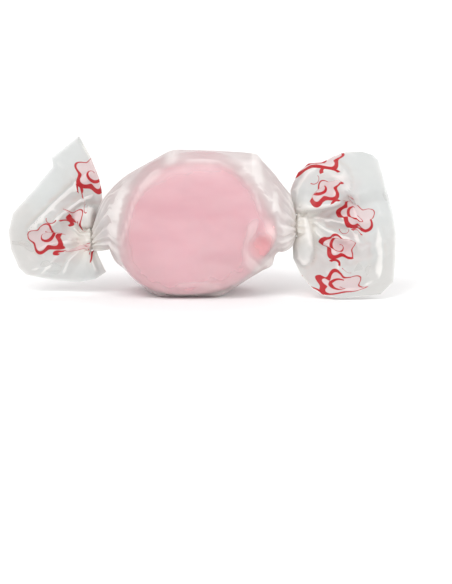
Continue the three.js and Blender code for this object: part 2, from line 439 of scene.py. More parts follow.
    def dimpled(self, places: np.ndarray) -> np.ndarray:
        """How far each point lies in the dimple.

        Args:
            places: The points.

        Returns:
            The share at each point, up to 1 in the middle of the dimple.
        """
        beside, above = places[..., 0] - DIMPLE[0], places[..., 2] - DIMPLE[1]
        far = np.hypot(beside, above) / self.dimple_radius
        return np.exp(-(far**2)) * (places[..., 1] < 0)

    def gathered(self, places: np.ndarray, turns: np.ndarray) -> np.ndarray:
        """How far the pleats and crushed creases of the loose paper stand out.

        Args:
            places: The points of the taut rings.
            turns: The place of each column round the tube.

        Returns:
            The height at each point.
        """
        x = places[..., 0]
        angle = turns[None, :] * TURN
        wander = sum(reach * np.sin(waves * angle + start) for waves, start, reach in self.wander)
        phase = (self.pleats * angle + wander * self.wander_share) / TURN
        main, second = self.pleat_shares
        often, shifted = self.second_pleats
        pleated = main * zigzag(phase) + second * zigzag(phase * often + shifted)
        drawn = smooth_step(np.abs(x), *self.pleats_from)
        return self.pleat_depth * drawn * pleated + self.crushed(x, angle)

    def crushed(self, x: np.ndarray, angle: np.ndarray) -> np.ndarray:
        """Random straight creases where the paper stands off the candy, drawn towards the necks.

        Args:
            x: Where each point is along the wrapper.
            angle: The direction of each column round the tube.

        Returns:
            The height at each point.
        """
        around = angle / TURN * self.girth
        draw = np.random.default_rng(self.crease_seed)
        height = np.zeros(x.shape)
        for _ in range(self.creases):
            side = draw.choice((-1, 1))
            along = side * draw.uniform(*self.crease_starts)
            start = np.array([along, draw.uniform(0, self.girth)])
            heading = math.radians(draw.normal(0, self.crease_spread))
            length = draw.uniform(*self.crease_lengths)
            end = start + length * np.array([side * math.cos(heading), math.sin(heading)])
            crease = drawn_crease(
                draw, (start, end), self.crease_height, self.crease_least, self.crease_widths
            )
            height = height + crease.raised(x, np.broadcast_to(around, x.shape))
        return height


@dataclass
class Fan:
    """One flattened end of the wrapper: two sheets spread from a knot to a cut edge."""

    side: Side
    knot: Point2
    upper_fold: Profile
    lower_fold: Profile
    cut_edge: Profile
    pleats: Profile
    features: dict[Layer, tuple[Feature, ...]]
    panels: tuple[float, ...]
    curl: float
    seed: float
    back_trim: float = 0.35
    trimmed_from: Point2 = (0.05, 0.15)
    rows: int = 52
    row_power: float = 1.12
    fold_power: int = 14
    lean: float = 10.5
    half_gap: float = 0.1
    rim_calm: float = 0.5
    calm_from: Point2 = (0.55, 0.95)
    pleat_blunt: float = 0.018
    pleats_from: Point2 = (1.2, 10.0)
    curl_power: int = 3
    curl_from: Point2 = (2.0, 15.0)
    edge_share: float = 0.06
    root_reach: float = 2.2
    tucks: int = 7
    tuck_depth: float = 0.12
    tuck_wander: float = 0.35
    tuck_waves: float = 17
    tucks_from: Point2 = (0.3, 2.2)
    tucks_to: Point2 = (4.0, 9.5)
    print_width: float = 72.0

    def knot_place(self) -> np.ndarray:
        """The knot, as a point of the scene."""
        return np.array([self.knot[0], 0.0, self.knot[1]])

    def fold_angle(self, points: Profile, distance: np.ndarray) -> np.ndarray:
        """The direction in which a fold lies from the knot.

        Args:
            points: The outline of the fold.
            distance: The distances from the knot at which it is read.

        Returns:
            The angle at each distance.
        """
        fine = divided(points)
        reach = np.maximum.accumulate(np.hypot(fine[:, 0], fine[:, 1]))
        return np.interp(distance, reach, np.arctan2(fine[:, 1], fine[:, 0]))

    def cut_reach(self, across: np.ndarray) -> np.ndarray:
        """The distance of the cut edge from the knot.

        Args:
            across: Share of the way from the lower to the upper fold.

        Returns:
            The distance at each share.
        """
        fine = divided(self.cut_edge)
        angle = np.arctan2(fine[:, 1], fine[:, 0])
        share = np.maximum.accumulate((angle - angle[0]) / (angle[-1] - angle[0]))
        return np.interp(across, share, np.hypot(fine[:, 0], fine[:, 1]))

    def relief(self, layer: Layer, across: np.ndarray, distance: np.ndarray,
               out: np.ndarray, up: np.ndarray) -> np.ndarray:
        """Depth of the paper towards the front, by its pleats, curl and creases.

        Args:
            layer: The sheet that the points are on.
            across: Share of the way from the lower to the upper fold.
            distance: Distance from the knot.
            out: Distance out from the knot.
            up: Distance up from the knot.

        Returns:
            The depth at each point.
        """
        rim = smooth_step(distance / self.cut_reach(across), *self.calm_from)
        calm = 1 - self.rim_calm * rim
        puffs = [feature for feature in self.features[layer] if isinstance(feature, Puff)]
        calm = calm * (1 - np.clip(sum(puff.cover(out, up) for puff in puffs), 0, 1))
        pleated = taut(across, self.pleats, self.pleat_blunt)
        shared = pleated * smooth_step(distance, *self.pleats_from) * calm
        curled = self.curl * (1 - across) ** self.curl_power
        curled = curled * smooth_step(distance, *self.curl_from)
        edges = smooth_step(np.minimum(across, 1 - across), 0.0, self.edge_share)
        wander = self.tuck_wander * np.sin(across * self.tuck_waves + self.seed)
        phase = across * self.tucks + wander
        near = smooth_step(distance, *self.tucks_from) * (1 - smooth_step(distance, *self.tucks_to))
        tucked = self.tuck_depth * zigzag(phase) * near * edges * calm
        own = sum(f.raised(out, up) for f in self.features[layer]) * edges
        return shared + curled + tucked + layer.value * own

    def rings(self, turns: np.ndarray, neck: Neck) -> tuple[np.ndarray, np.ndarray]:
        """The rings of the fan from its knot out to its cut edge.

        Args:
            turns: The place of each column round the tube, from 0 to 1.
            neck: The neck that the fan spreads from.

        Returns:
            The points, and their place on the flat sheet round and in from the cut edge.
        """
        turn = (turns + neck.twist / 360) % 1
        whole = np.abs(1 - 2 * turn)[None, :]
        front = (turn < 0.5)[None, :]
        share = np.linspace(0, 1, self.rows)[:, None] ** self.row_power
        reach = self.cut_reach(whole)
        trimmed = smooth_step(whole, *self.trimmed_from)
        trim = 1 - np.where(front, 0, self.back_trim / reach) * trimmed
        distance = share * reach * trim
        low = self.fold_angle(self.lower_fold, share * self.cut_reach(0.0))
        high = self.fold_angle(self.upper_fold, share * self.cut_reach(1.0))
        direction = low + (high - low) * whole
        out, up = distance * np.cos(direction), distance * np.sin(direction)
        whole_grid = np.broadcast_to(whole, distance.shape)
        depths = {layer: self.relief(layer, whole_grid, distance, out, up) for layer in Layer}
        rounded = np.clip(1 - np.abs(2 * whole - 1) ** self.fold_power, 0, 1) ** 0.5
        gap = self.half_gap * rounded
        depth = np.where(front, depths[Layer.FRONT] + gap, depths[Layer.BACK] - gap)
        opened = smooth_step(distance, 0.0, self.root_reach)
        ring_front, ring_up = neck.circle(turns, 1.0)
        closed = 1 - opened
        lean = math.radians(self.lean)
        upward = up + ring_up * closed
        forward = depth * opened + ring_front * closed
        x = self.knot[0] + self.side.value * out
        y = upward * math.sin(lean) - forward * math.cos(lean)
        z = self.knot[1] + upward * math.cos(lean) + forward * math.sin(lean)
        width = (high - low) * np.maximum(distance, 1.0)
        centres = np.array(self.panels)
        nearest = np.abs(whole[0][:, None] - centres[None, :]).argmin(axis=1)
        centre = centres[nearest][None, :]
        lengthwise = self.print_width / 2
        along_front = lengthwise * (1 - centre) - (whole - centre) * width
        along_back = lengthwise * (1 + centre) + (whole - centre) * width
        around = np.where(front, along_front, along_back)
        inward = (1 - share) * reach * trim
        return np.stack([x, y, z], axis=-1), np.stack([around, inward], axis=-1)


def left_fan() -> Fan:
    """Gives the fan on the left its sizes: a broad smooth panel over a crushed lower part.

    Returns:
        The fan.
    """
    return Fan(
        side=Side.LEFT,
        knot=(-17.7, 8.75),
        upper_fold=((-0.4, 1.8), (-1.1, 4.2), (-2.0, 6.3), (-1.9, 8.0), (-1.4, 10.4), (-0.6, 12.4),
                    (0.2, 14.4), (1.9, 17.3)),
        lower_fold=((-0.7, -1.1), (-1.3, -2.5), (-1.9, -3.8), (-2.6, -5.3)),
        cut_edge=((-2.6, -5.3), (-0.8, -6.5), (1.9, -7.0), (6.1, -6.6), (10.6, -5.8), (11.9, -4.6),
                  (13.2, -1.6), (13.6, 1.4), (12.9, 4.4), (9.4, 8.4), (6.1, 12.4), (6.7, 13.5),
                  (1.9, 17.3)),
        pleats=((0.0, 0.1), (0.12, 0.6), (0.24, 0.2), (0.33, -0.6), (0.42, 0.4), (0.52, -0.5),
                (0.62, 0.7), (0.74, 0.3), (0.88, -0.3), (1.0, -1.0)),
        features={
            Layer.FRONT: (
                Ridge(((-0.9, 12.2), (1.75, 10.0), (5.2, 6.9), (8.6, 3.4), (10.9, 0.9)),
                      1.6, 0.55, 3.6, 0.12),
                Ridge(((-1.2, 7.9), (1.6, 6.6), (4.6, 4.4), (7.2, 1.6)), 1.1, 0.5, 1.6, 0.2),
                Puff((0.6, 3.9), (2.3, 1.9), -8.0, 2.4, 0.5),
                Ridge(((3.1, 2.3), (1.3, 0.7), (-0.5, -0.9)), 1.0, 0.45, 0.4, 0.2),
                Ridge(((2.0, 2.0), (0.8, 1.0), (-0.4, -0.2)), 0.8, 0.35, 0.35, 0.2),
                Ridge(((1.6, -0.4), (5.2, -0.2), (9.6, -2.0)), 0.6, 1.2, 0.6, 0.25),
                Ridge(((1.0, -1.0), (3.6, -3.4), (5.0, -6.3)), 0.7, 0.6, 1.6, 0.25),
                Ridge(((0.4, -1.2), (-0.2, -3.4), (-1.4, -5.8)), 0.5, 1.1, 0.8, 0.25),
                *random_creases(31, 26, 2.4, 10.0, -35, 48, 0.42),
                *random_creases(32, 7, 8.0, 14.0, 50, 88, 0.16),
            ),
            Layer.BACK: (
                Ridge(((0.5, 3.0), (5.0, 13.5)), 0.8, 2.4, 1.2),
                Ridge(((2.0, 1.0), (11.5, 5.5)), 0.8, 1.4, 2.4),
                Ridge(((1.5, -0.5), (11.0, -3.5)), 0.7, 1.2, 1.9),
                Puff((2.6, 3.8), (2.6, 2.0), 60.0, 0.9),
                *random_creases(33, 20, 2.4, 13.0, -45, 85, 0.3),
            ),
        },
        panels=(0.06, 0.2, 0.34, 0.5, 0.66, 0.86),
        curl=0.0,
        seed=4.3,
    )


def right_fan() -> Fan:
    """Gives the fan on the right its sizes: a full puff over pleats and a narrow lobe.

    Returns:
        The fan.
    """
    return Fan(
        side=Side.RIGHT,
        knot=(16.8, 11.2),
        upper_fold=((-0.7, 1.9), (-1.0, 3.6), (-1.3, 5.8), (-0.9, 7.0), (0.1, 9.0), (1.8, 10.35),
                    (4.0, 10.5), (5.9, 11.5), (8.1, 12.3), (10.6, 12.3), (12.4, 11.7)),
        lower_fold=((-0.7, -1.8), (-0.9, -3.4), (-0.9, -5.4), (0.3, -8.0), (2.2, -10.4), (4.0, -11.6),
                    (7.0, -12.1), (13.4, -11.4)),
        cut_edge=((13.4, -11.4), (15.6, -9.3), (16.1, -5.4), (16.2, -1.1), (15.7, 2.2), (14.4, 6.9),
                  (13.3, 10.9), (12.4, 11.7)),
        pleats=((0.0, 0.4), (0.1, 1.3), (0.22, 0.6), (0.3, -0.7), (0.38, 0.5), (0.46, -0.6),
                (0.54, 0.4), (0.63, -1.0), (0.72, 1.0), (0.86, 1.4), (1.0, -0.4)),
        features={
            Layer.FRONT: (
                Puff((3.4, 6.8), (5.6, 4.5), 6.0, 2.2, 0.6),
                Ridge(((-0.9, 3.0), (0.3, 2.5), (2.6, 2.6), (5.9, 3.2), (7.6, 4.0)),
                      1.9, 2.6, 0.45, 0.12),
                Puff((1.1, -2.5), (1.5, 4.4), -3.0, 2.0, 0.5, 0.55),
                Ridge(((1.6, 1.6), (5.0, 1.0), (10.0, -0.2)), 0.7, 0.5, 1.3, 0.22),
                Ridge(((1.7, 1.0), (4.6, -0.6), (9.2, -2.6)), 0.8, 0.6, 1.3, 0.22),
                Ridge(((2.1, -0.2), (4.2, -2.4), (7.0, -5.2)), 0.8, 0.7, 1.4, 0.22),
                Ridge(((6.4, 2.6), (8.6, -0.6), (11.0, -3.4)), 0.5, 1.4, 0.8, 0.3),
                Ridge(((13.1, 1.0), (13.7, -4.9), (13.1, -10.0)), 0.6, 0.8, 2.0, 0.3),
                Ridge(((6.0, -10.6), (10.0, -10.4), (13.4, -8.6)), 0.4, 1.4, 0.8, 0.3),
                *random_creases(41, 14, 2.4, 10.0, -75, 20, 0.3),
                *random_creases(42, 10, 4.0, 12.0, 25, 88, 0.16),
            ),
            Layer.BACK: (
                Ridge(((0.5, 2.5), (9.0, 10.5)), 0.9, 1.6, 2.2),
                Ridge(((1.5, 0.5), (14.5, 1.5)), 0.9, 2.2, 1.2),
                Ridge(((0.8, -1.5), (8.5, -9.5)), 0.8, 1.4, 2.2),
                Puff((3.4, -5.0), (2.6, 3.4), 10.0, 0.9),
                *random_creases(43, 18, 2.4, 14.0, -80, 85, 0.3),
            ),
        },
        panels=(0.05, 0.16, 0.26, 0.34, 0.42, 0.5, 0.58, 0.72, 0.9),
        curl=5.2,
        seed=8.9,
    )


class Signal:
    """What a node puts out. The signs of arithmetic between numbers add Math nodes."""

    def __init__(self, write: "NodeWriter", socket: bpy.types.NodeSocket) -> None:
        """Keeps the socket and the writer of its tree."""
        self.write = write
        self.socket = socket

    def put(self, operation: str, *others: object, clamp: bool = False) -> Self:
        """What a Math node makes of this number and the others."""
        inputs = dict(enumerate((self, *others)))
        return self.write.output("ShaderNodeMath", inputs, operation=operation, use_clamp=clamp)

    def __add__(self, other: object) -> Self:
        """The sum."""
        return self.put("ADD", other)

    def __sub__(self, other: object) -> Self:
        """The difference."""
        return self.put("SUBTRACT", other)

    def __mul__(self, other: object) -> Self:
        """The product."""
        return self.put("MULTIPLY", other)

    def __truediv__(self, other: object) -> Self:
        """The quotient."""
        return self.put("DIVIDE", other)

    def __pow__(self, other: object) -> Self:
        """The power."""
        return self.put("POWER", other)

    def __abs__(self) -> Self:
        """The number without its sign."""
        return self.put("ABSOLUTE")


class NodeWriter:
    """Writes nodes into one node tree."""

    def __init__(self, tree: bpy.types.NodeTree) -> None:
        """Keeps the tree that the nodes go into."""
        self.tree = tree

    def node(self, kind: str, inputs: dict | None = None, **settings: object) -> bpy.types.Node:
        """Adds a node.

        Args:
            kind: The node's type.
            inputs: A signal or a plain value for each input, by its name or number.
            settings: The node's own properties.

        Returns:
            The node.
        """
        made = self.tree.nodes.new(kind)
        for name, value in settings.items():
            setattr(made, name, value)
        for name, value in (inputs or {}).items():
            if isinstance(value, Signal):
                self.tree.links.new(value.socket, made.inputs[name])
            else:
                made.inputs[name].default_value = value
        return made

    def output(self, kind: str, inputs: dict | None = None, port: str | int = 0,
               **settings: object) -> Signal:
        """Adds a node and gives one of its outputs."""
        return Signal(self, self.node(kind, inputs, **settings).outputs[port])

    def given(self) -> SimpleNamespace:
        """Adds the node of the tree's own inputs.

        Returns:
            A signal for each input, under its name in small letters.
        """
        sockets = self.node("NodeGroupInput").outputs
        named = {socket.name.lower().replace(" ", "_"): socket for socket in sockets if socket.name}
        return SimpleNamespace(**{name: Signal(self, socket) for name, socket in named.items()})

    def split(self, vector: Signal) -> list[Signal]:
        """The X, Y and Z of a vector."""
        parts = self.node("ShaderNodeSeparateXYZ", {0: vector})
        return [Signal(self, socket) for socket in parts.outputs]

    def ramp(self, value: Signal, low: object, high: object) -> Signal:
        """An eased share of the way from low to high."""
        inputs = {"Value": value, "From Min": low, "From Max": high}
        return self.output("ShaderNodeMapRange", inputs, interpolation_type="SMOOTHSTEP")

    def blend(self, share: Signal, first: object, second: object) -> Signal:
        """A mix of two colours."""
        inputs = {"Factor": share, 6: first, 7: second}
        return self.output("ShaderNodeMix", inputs, 2, data_type="RGBA")

    def noise(self, place: Signal, scale: float, detail: float = 2.0) -> Signal:
        """A soft uneven pattern, as a number."""
        return self.output("ShaderNodeTexNoise", {"Vector": place, "Scale": scale, "Detail": detail})

    def attribute(self, name: str) -> Signal:
        """The number that a mesh keeps at its points under a name."""
        return self.output("ShaderNodeAttribute", port="Fac", attribute_name=name)

    def bumped(self, height: Signal, strength: float, rise: float) -> Signal:
        """The normal of a surface with small heights, which rise by a length in metres."""
        return self.output("ShaderNodeBump", {"Height": height, "Strength": strength, "Distance": rise})


def new_tree(name: str, kind: str, inputs: dict[str, str], outputs: dict[str, str]) -> NodeWriter:
    """Starts a node tree.

    Args:
        name: The tree's name.
        kind: Its type.
        inputs: The type of each of its inputs, by name.
        outputs: The type of each of its outputs, by name.

    Returns:
        The tree's writer.
    """
    tree = bpy.data.node_groups.new(name, kind)
    for way, sockets in (("INPUT", inputs), ("OUTPUT", outputs)):
        for label, socket_type in sockets.items():
            tree.interface.new_socket(label, in_out=way, socket_type="NodeSocket" + socket_type)
    return NodeWriter(tree)


def new_material(name: str) -> tuple[bpy.types.Material, NodeWriter]:
    """Starts a material.

    Args:
        name: The material's name.

    Returns:
        The material, without nodes, and the writer of its tree.
    """
    made = bpy.data.materials.new(name)
    made.use_nodes = True
    made.node_tree.nodes.clear()
    return made, NodeWriter(made.node_tree)


def linked(name: str, data: bpy.types.ID) -> bpy.types.Object:
    """Adds an object to the scene.

    Args:
        name: The object's name.
        data: What it shows.

    Returns:
        The object.
    """
    made = bpy.data.objects.new(name, data)
    bpy.context.scene.collection.objects.link(made)
    return made


def sized(default: float, unit: float = 1.0) -> float:
    """A dataclass field that a node tree takes as a named input, in the tree's own unit."""
    return field(default=default, metadata={"unit": unit})


class TreeInputs:
    """The sizes of a dataclass that a node tree takes as its named inputs."""

    def inputs(self) -> dict[str, float]:
        """Lists the sizes that are fields made by sized.

        Returns:
            Each size in the tree's own unit, under its name in the tree.
        """
        return {
            size.name.replace("_", " ").title(): getattr(self, size.name) * size.metadata["unit"]
            for size in fields(self) if size.metadata
        }


@dataclass
class Taffy(TreeInputs):
    """The candy: a soft puck of pulled sugar, wider than it is thick."""

    half_length: float = sized(12.5, MM)
    half_height: float = sized(11.2, MM)
    half_thickness: float = sized(8.1, MM)
    middle_along: float = sized(-0.65, MM)
    middle_height: float = sized(11.6, MM)
    outline_power: float = sized(2.3)
    edge_power: float = sized(7.0)
    skew: float = sized(0.03)
    wave: float = sized(0.008)
    waves: float = sized(3.0)
    wave_phase: float = sized(90.0, DEGREE)
    bulge: float = sized(0.12)
    bulge_direction: float = sized(-5.0, DEGREE)
    bulge_width: float = sized(17.0, DEGREE)
    unevenness: float = sized(0.015)
    lump_scale: float = sized(1.6)
    dimple_along: float = sized(DIMPLE[0], MM)
    dimple_height: float = sized(DIMPLE[1], MM)
    dimple_radius: float = sized(1.9, MM)
    dimple_depth: float = sized(1.9, MM)
    front_gain: float = sized(-1.4)
    lowest: float = sized(0.14, MM)
    seed: float = sized(5.0)
    lump_detail: float = 1.5
    segments: int = 160
    rings: int = 112

    def tree(self, material: bpy.types.Material) -> bpy.types.NodeTree:
        """The Geometry Nodes tree that blows a ball out to the candy's form.

        Args:
            material: The finish that the tree sets.

        Returns:
            The tree, with the named inputs.
        """
        sockets = dict.fromkeys(self.inputs(), "Float")
        write = new_tree("Pulled taffy", "GeometryNodeTree", sockets, {"Geometry": "Geometry"})
        size = write.given()
        counts = {"Segments": self.segments, "Rings": self.rings, "Radius": 1.0}
        ball = write.output("GeometryNodeMeshUVSphere", counts)
        position = write.output("GeometryNodeInputPosition")
        across, deep, high = write.split(position)
        sideways = abs(across / size.half_length) ** size.outline_power
        upward = abs(high / size.half_height) ** size.outline_power
        rim = (sideways + upward) ** (size.edge_power / size.outline_power)
        depth = abs(deep / size.half_thickness) ** size.edge_power
        reach = (rim + depth) ** (size.edge_power ** -1.0 * -1.0)
        angle = high.put("ARCTAN2", across)
        skewed = size.skew * (angle * 2.0).put("SINE") + 1.0
        ripple = (angle * size.waves + size.wave_phase).put("COSINE")
        turned = (angle - size.bulge_direction) / size.bulge_width
        bell = (turned * turned * -1.0).put("EXPONENT")
        bulged = size.bulge * bell + (size.wave * ripple + skewed)
        lumpy = {"Vector": position, "W": size.seed, "Scale": size.lump_scale}
        lumpy["Detail"] = self.lump_detail
        lumps = write.output("ShaderNodeTexNoise", lumpy, noise_dimensions="4D")
        uneven = size.unevenness * (lumps - 0.5) + 1.0
        outward = reach * bulged * uneven
        x = across * outward + size.middle_along
        y = deep * (reach * uneven)
        z = high * outward + size.middle_height
        beside = (x - size.dimple_along) / size.dimple_radius
        above = (z - size.dimple_height) / size.dimple_radius
        press = ((beside * beside + above * above) * -1.0).put("EXPONENT") * size.dimple_depth
        frontness = (y / size.half_thickness).put("MULTIPLY", size.front_gain, clamp=True)
        corner = {0: x, 1: press * frontness + y, 2: z.put("MAXIMUM", size.lowest)}
        place = write.output("ShaderNodeCombineXYZ", corner)
        moved = write.output("GeometryNodeSetPosition", {"Geometry": ball, "Position": place})
        smooth = write.output("GeometryNodeSetShadeSmooth", {0: moved})
        real = write.output("GeometryNodeRealizeInstances", {0: smooth})
        finished = write.output("GeometryNodeSetMaterial", {0: real, "Material": material})
        write.node("NodeGroupOutput", {0: finished})
        return write.tree

    def build(self, material: bpy.types.Material) -> bpy.types.Object:
        """Makes the candy as a plain mesh and puts it in place of its solid.

        Args:
            material: The candy's finish.

        Returns:
            The candy.
        """
        tree = self.tree(material)
        start = linked("taffy_seed", bpy.data.meshes.new("taffy_seed"))
        modifier = start.modifiers.new("Pulled taffy", "NODES")
        modifier.node_group = tree
        sockets = {item.name: item.identifier for item in tree.interface.items_tree
                   if item.in_out == "INPUT"}
        for name, value in self.inputs().items():
            modifier[sockets[name]] = value
        graph = bpy.context.evaluated_depsgraph_get()
        mesh = bpy.data.meshes.new_from_object(start.evaluated_get(graph))
        start.modifiers.clear()
        bpy.data.objects.remove(start)
        mesh.name = "pulled_taffy"
        made = linked("pulled_taffy", mesh)
        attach(made, BODY)
        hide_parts("taffy")
        return made


@dataclass
class Wrapper:
    """The sheet of waxed paper: one tube with a twisted neck and a fan at each end."""

    body: WrappedBody = field(default_factory=WrappedBody)
    neck: Neck = field(default_factory=Neck)
    fans: tuple[Fan, Fan] = field(default_factory=lambda: (left_fan(), right_fan()))
    columns: int = 232
    thickness: float = 0.06
    clearance: float = 0.2
    least_gap: float = 0.17
    candy_middle: Point3 = (0.0, 0.0, 11.0)
    candy_reach: Point3 = (17.0, 12.0, 15.0)
    top_gain: float = 2.5
    top_drop: float = 1.75
    far_off: float = 99.0
    cling_reach: float = 1.9
    cling_faces: Point2 = (0.35, 0.8)
    loose_gap: float = 1.2
    touching: float = 0.3
    lifted: float = 1.2
    dented_share: float = 0.4
    rim_lift: float = 0.48
    rim_faces: Point2 = (0.1, 0.65)
    rim_heights: Point2 = (3.5, 8.5)
    dimple_touch: Point2 = (0.1, 0.45)
    dimple_calm: Point2 = (0.05, 0.35)
    eased_reach: float = 1.2
    smoothings: int = 4
    relief_smoothings: int = 2
    relief_steps: int = 4
    touch_smoothings: int = 4
    tucked_reach: float = 6.0
    fold_scale: int = 10
    fold_depth: float = 0.16
    valleys_from: Point2 = (12.5, 15.5)
    knotted_rows: int = 8
    print_start: float = 40.0

    @staticmethod
    def outward(places: np.ndarray) -> np.ndarray:
        """The direction in which each point of the tube faces outwards.

        Args:
            places: The points of the tube's grid.

        Returns:
            A direction of length 1 for each point.
        """
        along = np.gradient(places, axis=0)
        around = np.roll(places, -1, axis=1) - np.roll(places, 1, axis=1)
        facing = np.cross(around, along)
        return facing / np.maximum(np.linalg.norm(facing, axis=-1, keepdims=True), 1e-9)

    @staticmethod
    def evened(values: np.ndarray, times: int = 1) -> np.ndarray:
        """Brings each value of the tube's grid half way to the mean of its four neighbours.

        Args:
            values: The values of the grid.
            times: How often this is done.

        Returns:
            The new values.
        """
        for _ in range(times):
            beside = np.roll(values, 1, axis=1) + np.roll(values, -1, axis=1)
            before = np.concatenate([values[:1], values[:-1]])
            after = np.concatenate([values[1:], values[-1:]])
            values = values / 2 + (beside + before + after) / 8
        return values

    @staticmethod
    def both_walls(values: np.ndarray) -> np.ndarray:
        """The tube's grid for the outer wall, and then back again for the inner one."""
        return np.concatenate([values, values[::-1]])

    def sheet(self) -> tuple[np.ndarray, np.ndarray, np.ndarray]:
        """The outer surface before it meets the candy.

        Returns:
            The points, their relief by the face's creases and by the loose gathers, and their places
            on the flat sheet.
        """
        turns = np.arange(self.columns) / self.columns
        left, right = self.fans
        body = self.body.rings(turns)
        left_rings, left_print = left.rings(turns, self.neck)
        right_rings, right_print = right.rings(turns, self.neck)
        left_neck, right_neck = (
            self.neck.rings(self.body.end_centre(fan.side), fan.knot_place(), turns)
            for fan in self.fans
        )
        places = np.concatenate([left_rings[::-1], left_neck[::-1], body, right_neck, right_rings])
        middle = (len(left_neck) + len(body) + len(right_neck), self.columns)
        around = np.broadcast_to(turns * left.print_width, middle)
        middle_print = np.stack([around, np.full(middle, self.print_start)], axis=-1)
        flat = np.concatenate([left_print[::-1], middle_print, right_print])
        first = len(left_rings) + len(left_neck)
        rows = slice(first, first + len(body))
        relief = np.zeros((2, *places.shape[:2]))
        relief[0, rows] = self.body.pressed(places[rows], turns)
        relief[1, rows] = self.body.gathered(places[rows], turns)
        return places, relief, flat

    def laid_on(self, places: np.ndarray, tree: BVHTree, clearance: float,
                cling: bool) -> tuple[np.ndarray, np.ndarray, np.ndarray]:
        """Moves the paper clear of the candy, or on to its round faces where it is near them.

        Args:
            places: The points of the outer surface.
            tree: The candy's surface.
            clearance: The least gap that is kept.
            cling: True to draw in what lies near a round face.

        Returns:
            The points after the move, the gap that each one has to the candy, and how far the candy
            there faces along the wrapper or up.
        """
        moved = places.reshape(-1, 3).copy()
        gap = np.full(len(moved), self.far_off)
        facing = np.zeros(len(moved))
        near = np.all(np.abs(moved - self.candy_middle) < self.candy_reach, axis=1)
        for index in np.nonzero(near)[0]:
            point = Vector(moved[index])
            nearest, normal, _, _ = tree.find_nearest(point)
            distance = (point - nearest).dot(normal)
            kept = max(distance, clearance)
            if cling and kept < self.cling_reach:
                flatness = smooth_step(abs(normal.y), *self.cling_faces)
                loose = smooth_step(kept, clearance, self.cling_reach)
                kept = clearance + (kept - clearance) * (1 - flatness * (1 - loose))
            moved[index] = point + normal * (kept - distance)
            gap[index] = kept
            facing[index] = max(abs(normal.x), self.top_gain * normal.z - self.top_drop)
        grid = places.shape[:2]
        return moved.reshape(places.shape), gap.reshape(grid), facing.reshape(grid)

    def drawn_over(self, places: np.ndarray, relief: np.ndarray,
                   candy: bpy.types.Object) -> tuple[np.ndarray, np.ndarray]:
        """Lays the paper over the candy and presses its creases into it.

        Args:
            places: The points of the outer surface.
            relief: How far each point stands out, as sheet gives it.
            candy: The candy inside.

        Returns:
            The points after the move, and how closely each one touches the candy, from 0 to 1.
        """
        mesh = candy.data
        corners = [vertex.co / MM for vertex in mesh.vertices]
        tree = BVHTree.FromPolygons(corners, [tuple(face.vertices) for face in mesh.polygons])
        laid, gap, _ = self.laid_on(places, tree, self.clearance, True)
        eased = (gap < self.eased_reach)[..., None]
        for _ in range(self.smoothings):
            laid = np.where(eased, self.evened(laid), laid)
        loose = smooth_step(gap, self.clearance, self.loose_gap)
        height = self.evened(relief[0] + relief[1] * loose, self.relief_smoothings)
        step = self.outward(laid) * height[..., None] / self.relief_steps
        moved = laid
        for _ in range(self.relief_steps):
            moved, _, _ = self.laid_on(moved + step, tree, self.clearance, False)
        moved = np.where(eased, self.evened(moved), moved)
        moved, gap, facing = self.laid_on(moved, tree, self.least_gap, False)
        apart = gap - self.dented_share * np.maximum(relief[0], 0)
        turned = smooth_step(facing, *self.rim_faces) * smooth_step(moved[..., 2], *self.rim_heights)
        touch = (1 - smooth_step(apart, self.touching, self.lifted)) * (1 - self.rim_lift * turned)
        touch = np.maximum(touch, smooth_step(self.body.dimpled(moved), *self.dimple_touch))
        # The paper counts as touching over the bulge, so the painted highlight on the candy shows.
        squeezed = self.body.squeezed.cover(moved[..., 0], moved[..., 2]) * (moved[..., 1] < 0)
        touch = self.evened(np.maximum(touch, squeezed), self.touch_smoothings)
        moved[..., 2] = np.maximum(moved[..., 2], 0.0)
        return moved, touch

    def sunk(self, places: np.ndarray) -> np.ndarray:
        """How deep each point lies in a fold, which sets the painted shade in valleys and the whitening
        and painted highlight on crests. Over the candy's faces only crests count.

        Args:
            places: The points of the outer surface.

        Returns:
            A number for each point, from -1 on a crest to 1 in a valley.
        """
        even = self.evened(places, self.fold_scale)
        depth = ((even - places) * self.outward(places)).sum(axis=-1)
        row = np.arange(len(places))
        inside = smooth_step(np.minimum(row, row[::-1]), 1, self.fold_scale / 2)
        sunk = np.clip(depth / self.fold_depth, -1, 1) * inside[:, None]
        beyond = smooth_step(np.abs(places[..., 0]), *self.valleys_from)
        calm = 1 - smooth_step(self.body.dimpled(places), *self.dimple_calm)
        return np.where(sunk > 0, sunk * beyond, sunk) * calm

    def tucked(self, places: np.ndarray) -> np.ndarray:
        """How deep each point lies in the pleats round a knot, from 0 to 1."""
        reaches = [np.linalg.norm(places - fan.knot_place(), axis=-1) for fan in self.fans]
        return 1 - smooth_step(np.minimum(*reaches), 0.0, self.tucked_reach)

    def sharpen(self, mesh: bpy.types.Mesh, rows: int) -> None:
        """Marks the cut edges and the folds of the fans as sharp.

        Args:
            mesh: The paper's mesh, one wall after the other.
            rows: How many rings each wall has.
        """
        ends = np.zeros(len(mesh.edges) * 2, np.int32)
        mesh.edges.foreach_get("vertices", ends)
        row, column = divmod(ends.reshape(-1, 2), self.columns)
        row = np.minimum(row, 2 * rows - 1 - row)
        around, along = row[:, 0] == row[:, 1], column[:, 0] == column[:, 1]
        cut = around & ~along & np.isin(row[:, 0], (0, rows - 1))
        folds = [round(self.columns * (share - self.neck.twist / 360)) % self.columns
                 for share in (0.5, 1.0)]
        fan_rows = self.fans[0].rows - self.knotted_rows
        flattened = (row.max(axis=1) < fan_rows) | (row.min(axis=1) > rows - fan_rows)
        folded = along & ~around & np.isin(column[:, 0], folds) & flattened
        layer = mesh.attributes.new("sharp_edge", "BOOLEAN", "EDGE")
        layer.data.foreach_set("value", cut | folded)

